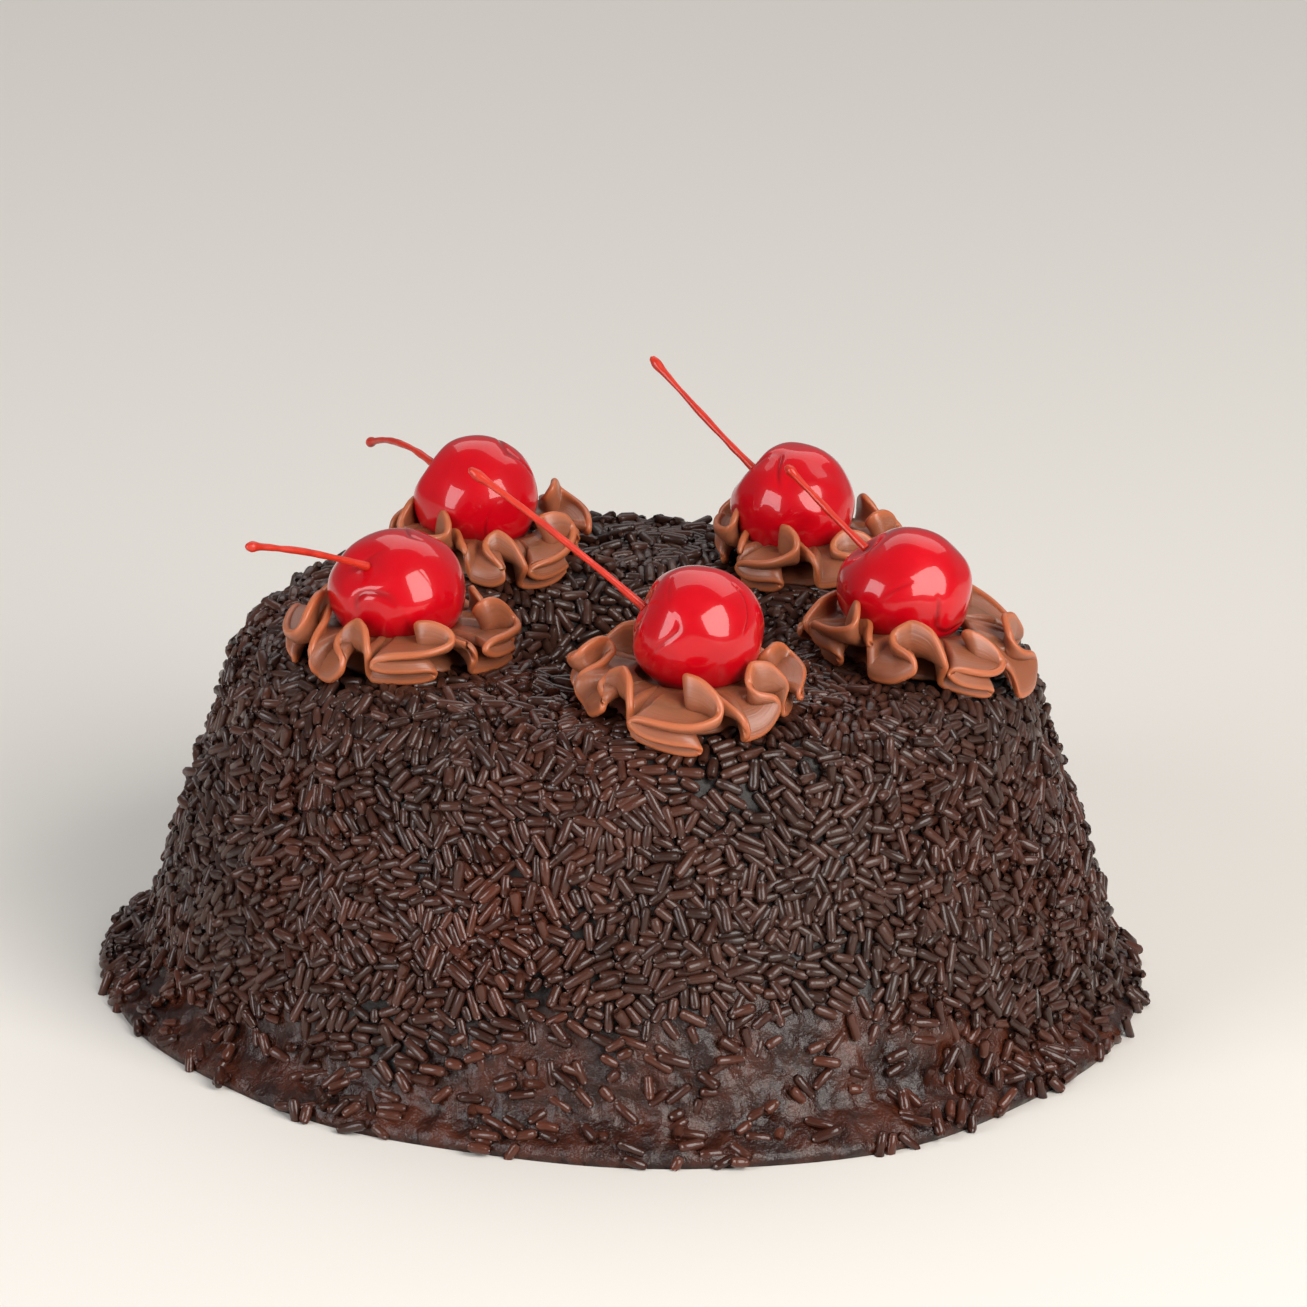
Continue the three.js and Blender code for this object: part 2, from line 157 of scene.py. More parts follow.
def on_ring(turn, along):
    """Where a turn and a length along the section lie on the ring's skin: the point, the direction
    round the ring, the direction along the section and the direction straight out of the skin."""
    radius = np.interp(along, SECTION_LENGTH, SECTION_RADIUS)
    height = np.interp(along, SECTION_LENGTH, SECTION_HEIGHT)
    slope = np.interp(along, SECTION_LENGTH, SECTION_SLOPE)
    low = (height < WALL_LOWEST) & (radius > SAUCE_INNER_RADIUS)
    sauce = waves(SAUCE_WAVES, turn, 0) * smoothstep(WALL_LOWEST, SAUCE_THICKNESS, height)
    side = waves(SIDE_WAVES, turn, height)
    side = side * smoothstep(0, UNEVEN_DEPTH, RING_HEIGHT - EVEN_DEPTH - height)
    eased_side = side * smoothstep(SAUCE_THICKNESS, WALL_LOWEST, height)
    radius = radius + np.where(low, sauce + eased_side, side)
    outward = np.stack([np.cos(turn), np.sin(turn), np.zeros_like(turn)], axis=-1)
    across = np.stack([-np.sin(turn), np.cos(turn), np.zeros_like(turn)], axis=-1)
    upward = np.array([0.0, 0.0, 1.0])
    point = outward * radius[..., None] + upward * height[..., None]
    onward = outward * np.cos(slope)[..., None] + upward * np.sin(slope)[..., None]
    out = outward * np.sin(slope)[..., None] - upward * np.cos(slope)[..., None]
    return point, across, onward, out


def bareness(turn, along):
    """0 where sprinkles cover the glaze and 1 where the sauce is bare: below the sauce's wavy edge."""
    degrees = (np.degrees(turn) + 180) % 360 - 180
    edge = np.interp(degrees, SAUCE_TURNS + [180], SAUCE_REACH + SAUCE_REACH[:1])
    edge = edge + waves(SAUCE_EDGE_WAVES, turn, 0)
    height = np.interp(along, SECTION_LENGTH, SECTION_HEIGHT)
    outside = along < SECTION_LENGTH[np.argmax(SECTION_HEIGHT)]
    return np.where(outside, smoothstep(edge + SAUCE_FADE / 2, edge - SAUCE_FADE / 2, height), 0)


def sheet_faces(rows, columns, rows_close, columns_close):
    """The four-cornered faces of a grid of rows by columns of points, closed either way or open."""
    row = np.arange(rows if rows_close else rows - 1)[:, None]
    column = np.arange(columns if columns_close else columns - 1)[None, :]
    next_row = (row + 1) % rows
    next_column = (column + 1) % columns
    corners = [row * columns + column, row * columns + next_column,
               next_row * columns + next_column, next_row * columns + column]
    return np.stack(np.broadcast_arrays(*corners), axis=-1).reshape(-1, 4)


def make_piece(name, points, face_groups, materials, attributes=None, uv=None):
    """A smooth shaded piece from points in millimetres and groups of faces with alike corner counts."""
    mesh = bpy.data.meshes.new(name)
    corners = np.concatenate([faces.ravel() for faces in face_groups])
    counts = np.concatenate([np.full(len(faces), faces.shape[1]) for faces in face_groups])
    starts = np.concatenate([[0], np.cumsum(counts)[:-1]])
    mesh.vertices.add(len(points))
    mesh.vertices.foreach_set("co", (points * MM).astype(np.float32).ravel())
    mesh.loops.add(len(corners))
    mesh.loops.foreach_set("vertex_index", corners.astype(np.int32))
    mesh.polygons.add(len(counts))
    mesh.polygons.foreach_set("loop_start", starts.astype(np.int32))
    mesh.polygons.foreach_set("use_smooth", np.ones(len(counts), dtype=bool))
    mesh.update(calc_edges=True)
    for title, values in (attributes or {}).items():
        layer = mesh.attributes.new(title, "FLOAT", "POINT")
        layer.data.foreach_set("value", values.astype(np.float32))
    if uv is not None:
        layer = mesh.uv_layers.new(name="along")
        layer.data.foreach_set("uv", uv[corners].astype(np.float32).ravel())
    for material in materials:
        mesh.materials.append(material)
    piece = bpy.data.objects.new(name, mesh)
    bpy.context.scene.collection.objects.link(piece)
    return piece


def new_material(name):
    """An empty node material with its Principled shader."""
    material = bpy.data.materials.new(name)
    material.use_nodes = True
    return material, material.node_tree.nodes["Principled BSDF"]


def set_inputs(material, node, values):
    """Sets a node's inputs to values, or links them to outputs."""
    for key, value in values.items():
        if isinstance(value, bpy.types.NodeSocket):
            material.node_tree.links.new(value, node.inputs[key])
        else:
            node.inputs[key].default_value = value


def add_node(material, kind, inputs=None, **settings):
    """One shader node, with its settings, and its inputs set to a value or linked to an output."""
    node = material.node_tree.nodes.new(kind)
    for key, value in settings.items():
        setattr(node, key, value)
    set_inputs(material, node, inputs or {})
    return node


def blend_colours(material, share, first, second):
    """The first colour where share is 0 and the second where it is 1."""
    mix = add_node(material, "ShaderNodeMix", {0: share}, data_type="RGBA")
    for socket, colour in ((mix.inputs[6], first), (mix.inputs[7], second)):
        if isinstance(colour, bpy.types.NodeSocket):
            material.node_tree.links.new(colour, socket)
        else:
            socket.default_value = (*colour, 1)
    return mix.outputs[2]


def glaze_material():
    """Wet dark glaze that turns to a redder, mottled and glossier sauce where the bare attribute is 1."""
    material, shader = new_material("chocolate_glaze")
    place = add_node(material, "ShaderNodeTexCoord").outputs["Object"]
    bare = add_node(material, "ShaderNodeAttribute", attribute_name="bare").outputs["Fac"]
    cloud = add_node(material, "ShaderNodeTexNoise",
                     {"Vector": place, "Scale": 110, "Detail": 4, "Roughness": 0.6}).outputs["Fac"]
    warm = add_node(material, "ShaderNodeMapRange",
                    {"Value": cloud, "From Min": 0.42, "From Max": 0.68}).outputs[0]
    sauce = blend_colours(material, warm, (0.017, 0.0045, 0.0026), (0.072, 0.0155, 0.0055))
    grain = add_node(material, "ShaderNodeTexNoise",
                     {"Vector": place, "Scale": 620, "Detail": 4, "Roughness": 0.6}).outputs["Fac"]
    bump = add_node(material, "ShaderNodeBump",
                    {"Strength": 0.7, "Distance": 0.001, "Height": grain})
    rough = add_node(material, "ShaderNodeMapRange",
                     {"Value": bare, "To Min": 0.62, "To Max": 0.24}).outputs[0]
    set_inputs(material, shader, {
        "Base Color": blend_colours(material, bare, (0.0065, 0.0028, 0.0021), sauce),
        "Roughness": rough, "Specular IOR Level": 0.35, "Coat Weight": 0.12, "Coat Roughness": 0.1,
        "Normal": bump.outputs["Normal"]})
    return material


def make_ring():
    """The skin of the ring on a grid of turn by section length, with its underside closed flat, raised
    by the glaze's lumps, and by the thicker sauce's lumps where it is bare."""
    turn = np.linspace(0, 2 * np.pi, RING_COLUMNS, endpoint=False)[None, :]
    along = np.linspace(0, SECTION_LENGTH[-1], RING_ROWS)[:, None]
    turn, along = (grid.ravel() for grid in np.broadcast_arrays(turn, along))
    point, _, _, out = on_ring(turn, along)
    bare = bareness(turn, along)
    relief = lumps(point, GLAZE_LUMPS) - GLAZE_SINK
    relief += bare * (SAUCE_RAISE + lumps(point, SAUCE_LUMPS))
    relief *= smoothstep(0, RELIEF_FADE, point[:, 2])
    point = point + out * relief[:, None]
    faces = sheet_faces(RING_ROWS, RING_COLUMNS, True, True)[:, ::-1]
    return make_piece("ring", point, [faces], [glaze_material()], {"bare": bare})


ring = make_ring()
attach(ring, "root")
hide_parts("flan_body")

# ---------------------------------------------------------------------------------------------
# The sprinkles: short rods of dark sugar paste with rounded ends, pressed by hand into the wet
# glaze. One layer lies half sunk and close packed, and loose ones lie across it.
# ---------------------------------------------------------------------------------------------
ROSETTES = [
    {"name": 1, "centre": (8.9, -45.3), "radius": 19.4, "turn": -118},
    {"name": 2, "centre": (-38.9, -22.0), "radius": 19.6, "turn": 155},
    {"name": 3, "centre": (-26.4, 34.0), "radius": 17.3, "turn": 200},
    {"name": 4, "centre": (30.0, 35.6), "radius": 17.5, "turn": 60},
    {"name": 5, "centre": (48.4, -13.6), "radius": 19.8, "turn": -75},
]
SPRINKLE_SEED = 7
SPRINKLE_RADII = (0.78, 0.98)
SPRINKLE_LENGTHS = (2.6, 4.2, 6.6)
SPRINKLE_SIDES = 8
SPRINKLE_SECTORS = 5
# Each layer: how many are thrown, the share that the bare sauce swallows, how far they stay from the
# rosettes' edges, and how high and how tilted they lie.
BEDDED = {"thrown": 8400, "swallowed": 0.8, "margin": -5.5, "lift": 0.42, "tilt": 0.10}
LOOSE = {"thrown": 2800, "swallowed": 0.45, "margin": 2.0, "lift": 1.45, "tilt": 0.30}
LIFT_SPREAD = 0.12
ROSETTE_LOWEST = 50
# How sprinkles lie side by side in drifts: the drifts' turn and length, and each one's own turn.
DRIFT_TURN = 0.9
DRIFT_LENGTH = 17
LYING_SPREAD = 0.55
# The settling: discs on each sprinkle's axis, rounds, the strength of a push, the fewest touches that
# share it, and the margin at the section's ends.
SPRINKLE_DISCS = 5
SETTLE_ROUNDS = 45
SETTLE_GAIN = 1.5
FEWEST_TOUCHES = 1.5
SECTION_MARGIN = 1.0
# Numbers that tell the cubes of the sorted discs apart.
CELL_SHIFT = 200
CELL_SPAN = 1000
SPRINKLE_LOWEST = 0.02
# How red and wet a sprinkle is: everywhere, on the bare sauce, in clouds of a length, and in one patch
# at the front, which has a turn, a height, and a reach either way.
WETNESS = {"everywhere": 0.2, "sauce": 0.5, "clouds": 0.2, "patch": 0.7}
WET_CLOUD_LENGTH = 45
WET_PATCH = {"turn": -1.85, "turn_reach": 0.16, "height": 36, "height_reach": 13}


def pairs_that_touch(discs, reach):
    """The pairs of discs nearer than reach, found by sorting the discs into cubes of that size and
    comparing every cube with itself and with the thirteen neighbours on one side of it."""
    cells = np.floor(discs / reach).astype(np.int64) + CELL_SHIFT
    key = (cells[:, 0] * CELL_SPAN + cells[:, 1]) * CELL_SPAN + cells[:, 2]
    order = np.argsort(key, kind="stable")
    ordered = key[order]
    firsts, seconds = [], []
    steps = [(x, y, z) for x in (-1, 0, 1) for y in (-1, 0, 1) for z in (-1, 0, 1) if (x, y, z) >= (0, 0, 0)]
    for x, y, z in steps:
        wanted = key + (x * CELL_SPAN + y) * CELL_SPAN + z
        low = np.searchsorted(ordered, wanted, side="left")
        count = np.searchsorted(ordered, wanted, side="right") - low
        first = np.repeat(np.arange(len(discs)), count)
        offset = np.arange(len(first)) - np.repeat(np.cumsum(count) - count, count)
        second = order[np.repeat(low, count) + offset]
        keep = second > first if (x, y, z) == (0, 0, 0) else np.full(len(first), True)
        firsts.append(first[keep])
        seconds.append(second[keep])
    return np.concatenate(firsts), np.concatenate(seconds)


def settle(turn, along, lying, length, radius):
    """Pushes overlapping sprinkles apart on the ring's skin. Each is a few discs on its axis. A pair of
    discs that overlap moves both sprinkles by half the overlap and turns them by its lever."""
    half = length / 2 - radius
    marks = np.linspace(-1, 1, SPRINKLE_DISCS)
    owner = np.repeat(np.arange(len(turn)), SPRINKLE_DISCS)
    for _ in range(SETTLE_ROUNDS):
        point, across, onward, _ = on_ring(turn, along)
        axis = across * np.cos(lying)[:, None] + onward * np.sin(lying)[:, None]
        side = onward * np.cos(lying)[:, None] - across * np.sin(lying)[:, None]
        discs = (point[:, None, :] + axis[:, None, :] * (half[:, None] * marks)[..., None]).reshape(-1, 3)
        first, second = pairs_that_touch(discs, 2 * SPRINKLE_RADII[1])
        keep = owner[first] != owner[second]
        first, second = first[keep], second[keep]
        apart = discs[first] - discs[second]
        distance = np.linalg.norm(apart, axis=1)
        overlap = radius[owner[first]] + radius[owner[second]] - distance
        near = overlap > 0
        first, second = first[near], second[near]
        push = apart[near] / np.maximum(distance[near], 1e-6)[:, None] * (0.5 * overlap[near])[:, None]
        disc = np.concatenate([first, second])
        push = np.concatenate([push, -push])
        who = owner[disc]
        lever = (half[:, None] * marks).ravel()[disc]
        shove = np.stack([np.bincount(who, push[:, i], len(turn)) for i in range(3)], axis=1)
        swing = np.bincount(who, (push * side[who]).sum(axis=1) * lever, len(turn))
        touches = np.maximum(np.bincount(who, minlength=len(turn)), FEWEST_TOUCHES)
        shove /= touches[:, None]
        around = np.maximum(np.hypot(point[:, 0], point[:, 1]), 1)
        turn = turn + SETTLE_GAIN * (shove * across).sum(axis=1) / around
        along = along + SETTLE_GAIN * (shove * onward).sum(axis=1)
        along = np.clip(along, SECTION_MARGIN, SECTION_LENGTH[-1] - SECTION_MARGIN)
        lying = lying + SETTLE_GAIN * swing / touches / (half ** 2 / 2 + radius ** 2)
    return turn, along, lying


def scatter(draw, layer):
    """Even random places by area on the skin, less the share that the bare sauce swallows there."""
    share = np.concatenate([[0], np.cumsum(SECTION_RADIUS[1:] + SECTION_RADIUS[:-1])])
    along = np.interp(draw.uniform(0, share[-1], layer["thrown"]), share, SECTION_LENGTH)
    turn = draw.uniform(-np.pi, np.pi, layer["thrown"])
    keep = draw.uniform(0, 1, layer["thrown"]) < 1 - layer["swallowed"] * bareness(turn, along)
    return turn[keep], along[keep]


def clear_of_rosettes(turn, along, margin):
    """Whether a place on the skin lies outside every rosette, or is so far down that none is near."""
    point = on_ring(turn, along)[0]
    clear = np.full(len(turn), True)
    for rosette in ROSETTES:
        away = np.hypot(point[:, 0] - rosette["centre"][0], point[:, 1] - rosette["centre"][1])
        clear &= (away > rosette["radius"] + margin) | (point[:, 2] < ROSETTE_LOWEST)
    return clear


def sprinkle_form():
    """One rounded rod along X: rings of corners at the ends' poles, shoulders and straight part."""
    turns = np.linspace(0, 2 * np.pi, SPRINKLE_SIDES, endpoint=False)
    circle = np.stack([np.zeros(SPRINKLE_SIDES), np.cos(turns), np.sin(turns)], axis=1)
    # Each ring: which end it belongs to, its length past the end's middle and its radius.
    rings = [(-1, -0.72, 0.66), (-1, 0.0, 1.0), (1, 0.0, 1.0), (1, 0.72, 0.66)]
    ends = [(-1, -1.0), (1, 1.0)]
    end = np.array([e for e, _, _ in rings for _ in turns] + [e for e, _ in ends])
    past = np.array([p for _, p, _ in rings for _ in turns] + [p for _, p in ends])
    around = np.concatenate([circle * r for _, _, r in rings] + [np.zeros((2, 3))])
    quads = sheet_faces(len(rings), SPRINKLE_SIDES, False, True)[:, ::-1]
    column = np.arange(SPRINKLE_SIDES)
    following = (column + 1) % SPRINKLE_SIDES
    pole = len(rings) * SPRINKLE_SIDES
    last = (len(rings) - 1) * SPRINKLE_SIDES
    caps = np.concatenate([
        np.stack([np.full(SPRINKLE_SIDES, pole), following, column], axis=1),
        np.stack([np.full(SPRINKLE_SIDES, pole + 1), last + column, last + following], axis=1)])
    return end, past, around, quads, caps


def sprinkle_material():
    """Dark brown sugar paste with a satin skin; each rod has its own shade, and some are redder."""
    material, shader = new_material("chocolate_sprinkle")
    place = add_node(material, "ShaderNodeTexCoord").outputs["Object"]
    shade = add_node(material, "ShaderNodeAttribute", attribute_name="shade").outputs["Fac"]
    wet = add_node(material, "ShaderNodeAttribute", attribute_name="wet").outputs["Fac"]
    grain = add_node(material, "ShaderNodeTexNoise",
                     {"Vector": place, "Scale": 1500, "Detail": 2, "Roughness": 0.5}).outputs["Fac"]
    bump = add_node(material, "ShaderNodeBump",
                    {"Strength": 0.25, "Distance": 0.0003, "Height": grain})
    dry = blend_colours(material, shade, (0.024, 0.0092, 0.0060), (0.054, 0.0205, 0.0130))
    red = blend_colours(material, shade, (0.030, 0.0085, 0.005), (0.088, 0.0235, 0.0125))
    rough = add_node(material, "ShaderNodeMapRange",
                     {"Value": wet, "To Min": 0.36, "To Max": 0.16}).outputs[0]
    set_inputs(material, shader, {
        "Base Color": blend_colours(material, wet, dry, red), "Roughness": rough,
        "Specular IOR Level": 0.3, "Coat Weight": 0.22, "Coat Roughness": 0.12,
        "Normal": bump.outputs["Normal"]})
    return material


def make_sprinkles(turn, along, lying, length, radius, lift, tilt, shade, wet):
    """Every rod's corners at once: its form is stretched to its length and radius, laid on the skin
    along its own direction, tilted up by its tilt and lifted. One piece is made for each sector."""
    end, past, around, quads, caps = sprinkle_form()
    point, across, onward, out = on_ring(turn, along)
    axis = across * np.cos(lying)[:, None] + onward * np.sin(lying)[:, None]
    side = np.cross(out, axis)
    rising = axis * np.cos(tilt)[:, None] + out * np.sin(tilt)[:, None]
    above = out * np.cos(tilt)[:, None] - axis * np.sin(tilt)[:, None]
    along_axis = end[None, :] * (length / 2 - radius)[:, None] + past[None, :] * radius[:, None]
    corners = (point + out * lift[:, None])[:, None, :] + rising[:, None, :] * along_axis[..., None]
    corners = corners + side[:, None, :] * (radius[:, None] * around[None, :, 1])[..., None]
    corners = corners + above[:, None, :] * (radius[:, None] * around[None, :, 2])[..., None]
    corners[..., 2] = np.maximum(corners[..., 2], SPRINKLE_LOWEST)
    material = sprinkle_material()
    sector = ((turn % (2 * np.pi)) / (2 * np.pi) * SPRINKLE_SECTORS).astype(int) % SPRINKLE_SECTORS
    pieces = []
    for number in range(SPRINKLE_SECTORS):
        mine = np.flatnonzero(sector == number)
        base = (np.arange(len(mine)) * len(end))[:, None, None]
        groups = [(base + faces[None]).reshape(-1, faces.shape[1]) for faces in (quads, caps)]
        pieces.append(make_piece(
            f"sprinkles_{number + 1}", corners[mine].reshape(-1, 3), groups, [material],
            {"shade": np.repeat(shade[mine], len(end)), "wet": np.repeat(wet[mine], len(end))}))
    return pieces


def all_sprinkles():
    """Draws and settles both layers, joins them, and wets them: a bell curve about the wet patch, with
    the bare sauce and random clouds, each times its share."""
    draw = np.random.default_rng(SPRINKLE_SEED)
    layers = []
    for layer in (BEDDED, LOOSE):
        turn, along = scatter(draw, layer)
        keep = clear_of_rosettes(turn, along, layer["margin"])
        turn, along = turn[keep], along[keep]
        number = len(turn)
        length = draw.triangular(*SPRINKLE_LENGTHS, number)
        radius = draw.uniform(*SPRINKLE_RADII, number)
        drift = DRIFT_TURN * ripples(on_ring(turn, along)[0], DRIFT_LENGTH, 5)
        lying = drift + draw.normal(0, LYING_SPREAD, number)
        turn, along, lying = settle(turn, along, lying, length, radius)
        lift = layer["lift"] + draw.normal(0, LIFT_SPREAD, number)
        tilt = draw.normal(0, layer["tilt"], number)
        layers.append((turn, along, lying, length, radius, lift, tilt, draw.uniform(0, 1, number)))
    turn, along, lying, length, radius, lift, tilt, shade = (np.concatenate(v) for v in zip(*layers))
    point = on_ring(turn, along)[0]
    patch = np.exp(-((turn - WET_PATCH["turn"]) / WET_PATCH["turn_reach"]) ** 2
                   - ((point[:, 2] - WET_PATCH["height"]) / WET_PATCH["height_reach"]) ** 2)
    wet = (WETNESS["everywhere"] + WETNESS["sauce"] * bareness(turn, along)
           + WETNESS["clouds"] * ripples(point, WET_CLOUD_LENGTH, 9) + WETNESS["patch"] * patch)
    return make_sprinkles(turn, along, lying, length, radius, lift, tilt, shade, np.clip(wet, 0, 1))


for piece in all_sprinkles():
    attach(piece, "root")
    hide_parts("flan_body")

# ---------------------------------------------------------------------------------------------
# The rosettes: whipped chocolate ganache, piped through a flat nozzle as one ruffled ribbon that
# doubles back on itself in S folds round a low mound, and leans in against the cherry.
# ---------------------------------------------------------------------------------------------
# The steps of a fold: how far along its lobe, how far up and how far out, as shares of the lobe's
# width, of the rise and of the rosette's radius. A lying fold runs right along the crown, doubles
# back above itself, and turns again to climb to a peak on the cherry. An upright one stands on edge.
LYING_FOLD = [(-0.05, 0.02, 0.84), (0.5, 0.02, 0.88), (0.6, 0.14, 0.92), (0.5, 0.27, 0.95),
              (0.1, 0.28, 0.96), (-0.02, 0.42, 0.97), (0.1, 0.54, 0.97), (0.5, 0.57, 0.98),
              (0.72, 0.66, 0.95), (0.74, 0.82, 0.88), (0.6, 0.93, 0.76), (0.42, 0.9, 0.68),
              (0.46, 0.72, 0.6), (0.74, 0.64, 0.68), (0.92, 0.54, 0.9), (0.96, 0.3, 0.95)]
UPRIGHT_FOLD = [(-0.03, 0.03, 0.9), (0.34, 0.1, 0.97), (0.6, 0.36, 1), (0.54, 0.54, 0.97),
                (0.26, 0.6, 0.88), (0.2, 0.74, 0.78), (0.48, 0.9, 0.7), (0.8, 0.86, 0.82),
                (0.95, 0.58, 0.96)]
LYING_WIDTH = 1.2
UPRIGHT_WIDTH = 0.8
LOBE_FOLDS = [LYING_FOLD, UPRIGHT_FOLD, LYING_FOLD, LYING_FOLD, UPRIGHT_FOLD, LYING_FOLD, UPRIGHT_FOLD]
WIDTH_UNEVENNESS = (0.12, 2.3)
RISE_UNEVENNESS = (0.1, 1.7)
REACH_UNEVENNESS = (0.05, 3.7)
FOLD_RISE = 10.8
FOLD_ROUNDING = 1.0
COURSE_RADIUS_SHARE = 0.8
RIBBON_HALF_THICKNESS = 0.85
RIM_THINNING = 0.3
RIBBON_FOOT_HEIGHT = 1.2
ROOT_RADIUS = 8.5
ROOT_HEIGHT = 4.6
ROOT_SWING = 0.5
BULGE_REACH = 0.92
LOW_BULGE_HEIGHT = 1.6
HIGH_BULGE_SHARE = 0.3
# Between these shares of the rise, a rim changes from a low one to a high one, and between these
# shares of the way out, the ribbon's colour changes from its body to its thin rim, which is painted brighter
# orange as a painted glow of light through it.
BULGE_RISES = (0.3, 0.9)
PAINTED_RIM_GLOW_SHARES = (0.9, 1.02)
RIBBON_STEPS = 1000
RIBBON_ACROSS = 12
RIM_STEPS = 7
DRAPE_LIMITS = (31, 62)
UV_SCALE = 0.1
# The mound's section, from its middle on top, over its edge, to its middle underneath.
MOUND_ROWS = 40
MOUND_COLUMNS = 64
MOUND = [(0, 3.6), (6, 3.7), (9, 3.4), (11.4, 2.2), (12.6, 0.9), (12.2, 0.3), (0, 0.3)]


def resting_height(distance):
    """The height of what a rosette rests on: the crown, and tangents past its rounded edges."""
    held = np.clip(distance, *DRAPE_LIMITS)
    past = np.maximum(np.maximum(held - SHOULDER_CENTRE, HOLE_CENTRE - held), 0)
    rounding = np.where(held > SHOULDER_CENTRE, SHOULDER_ROUNDING, HOLE_ROUNDING)
    depth = np.sqrt(rounding ** 2 - past ** 2)
    height = np.where(past > 0, CROWN_TOP - rounding + depth, crown_height(held))
    return height - np.abs(distance - held) * past / depth


def ribbon_course(rosette):
    """The ribbon's course round a rosette: its turn, rise and reach at even steps of its length. The
    folds of all lobes are joined, and each value is smoothed by a Gaussian running mean."""
    start = math.radians(rosette["turn"])
    widths = np.array([LYING_WIDTH if fold is LYING_FOLD else UPRIGHT_WIDTH for fold in LOBE_FOLDS])
    uneven = [1 + share * np.sin(pace * np.arange(len(LOBE_FOLDS)) + rosette["name"])
              for share, pace in (WIDTH_UNEVENNESS, RISE_UNEVENNESS, REACH_UNEVENNESS)]
    angles = 2 * np.pi * widths * uneven[0] / (widths * uneven[0]).sum()
    starts = start + np.cumsum(angles) - angles
    steps = np.concatenate([
        np.array(fold) * (angle, FOLD_RISE * rise, rosette["radius"] * reach) + (begin, 0, 0)
        for fold, angle, begin, rise, reach in zip(LOBE_FOLDS, angles, starts, *uneven[1:])])
    steps = np.concatenate([steps, steps[:1] + (2 * np.pi, 0, 0)])
    pace = np.diff(steps, axis=0) * (COURSE_RADIUS_SHARE * rosette["radius"], 1, 1)
    length = np.concatenate([[0], np.cumsum(np.linalg.norm(pace, axis=1))])
    even = np.linspace(0, length[-1], RIBBON_STEPS, endpoint=False)
    lap = 2 * np.pi * even / length[-1]
    pitch = 2 * np.pi * np.fft.rfftfreq(RIBBON_STEPS, length[-1] / RIBBON_STEPS)
    keep = np.exp(-0.5 * (pitch * FOLD_ROUNDING) ** 2)
    turn, rise, reach = (np.interp(even, length, values) for values in steps.T)
    eased = [np.fft.irfft(np.fft.rfft(values) * keep, RIBBON_STEPS) for values in (turn - lap, rise, reach)]
    return even, eased[0] + lap, eased[1], eased[2]


def ribbon_skin(rosette, turn, rise, reach, out):
    """The ribbon's middle surface: a curve of the second order from its root beside the cherry, where
    out is 0, over a bulge, to its rim, where out is 1. The bulge stands above a low rim, and reaches
    out below a high one. The root swings only a share as far round as the rim."""
    steady = turn[:1] + np.linspace(0, 2 * np.pi, len(turn), endpoint=False)[:, None]
    turn = steady + (turn - steady) * (ROOT_SWING + (1 - ROOT_SWING) * out)
    height_share = np.clip(rise / FOLD_RISE, 0, 1)
    bulge = reach + np.maximum(BULGE_REACH * rosette["radius"] - reach, 0) * height_share
    near, middle, far = (1 - out) ** 2, 2 * out * (1 - out), out ** 2
    reach = near * ROOT_RADIUS + middle * bulge + far * reach
    low_bulge = (ROOT_HEIGHT + rise) / 2 + LOW_BULGE_HEIGHT
    high = smoothstep(*BULGE_RISES, height_share)
    bulge_height = low_bulge + (HIGH_BULGE_SHARE * rise - low_bulge) * high
    height = RIBBON_FOOT_HEIGHT + near * ROOT_HEIGHT + middle * bulge_height + far * rise
    x = rosette["centre"][0] + reach * np.cos(turn)
    y = rosette["centre"][1] + reach * np.sin(turn)
    return np.stack([x, y, resting_height(np.hypot(x, y)) + height], axis=-1)


def make_ribbon(rosette):
    """The ribbon's two faces, half its thickness to either side of its middle surface, joined round
    the rim by a half circle, as a closed loop of points at every step of its course."""
    even, turn, rise, reach = ribbon_course(rosette)
    out = np.linspace(0, 1, RIBBON_ACROSS)
    course = [values[:, None] for values in (turn, rise, reach)]
    skin = ribbon_skin(rosette, *course, out[None, :])
    forward = np.roll(skin, -1, axis=0) - np.roll(skin, 1, axis=0)
    outward = np.gradient(skin, axis=1)
    normal = np.cross(forward, outward)
    normal /= np.linalg.norm(normal, axis=-1, keepdims=True)
    tip = outward[:, -1:] / np.linalg.norm(outward[:, -1:], axis=-1, keepdims=True)
    half = RIBBON_HALF_THICKNESS * (1 - RIM_THINNING * out ** 3)[None, :, None]
    bend = np.linspace(0, np.pi, RIM_STEPS + 2)[1:-1][None, :, None]
    rim = skin[:, -1:] + half[:, -1:] * (np.cos(bend) * normal[:, -1:] + np.sin(bend) * tip)
    loop = np.concatenate([skin + half * normal, rim, (skin - half * normal)[:, ::-1]], axis=1)
    across = np.concatenate([out, np.ones(RIM_STEPS), out[::-1]])
    rows, columns = loop.shape[:2]
    points = loop.reshape(-1, 3)
    # The edge share marks the thin rim, whose colour the ganache paints brighter orange as a painted glow of
    # light through it.
    edge = np.tile(smoothstep(*PAINTED_RIM_GLOW_SHARES, across), rows)
    uv = np.stack([np.repeat(even * UV_SCALE, columns), np.tile(across, rows)], axis=1)
    return points, sheet_faces(rows, columns, True, True), edge, uv


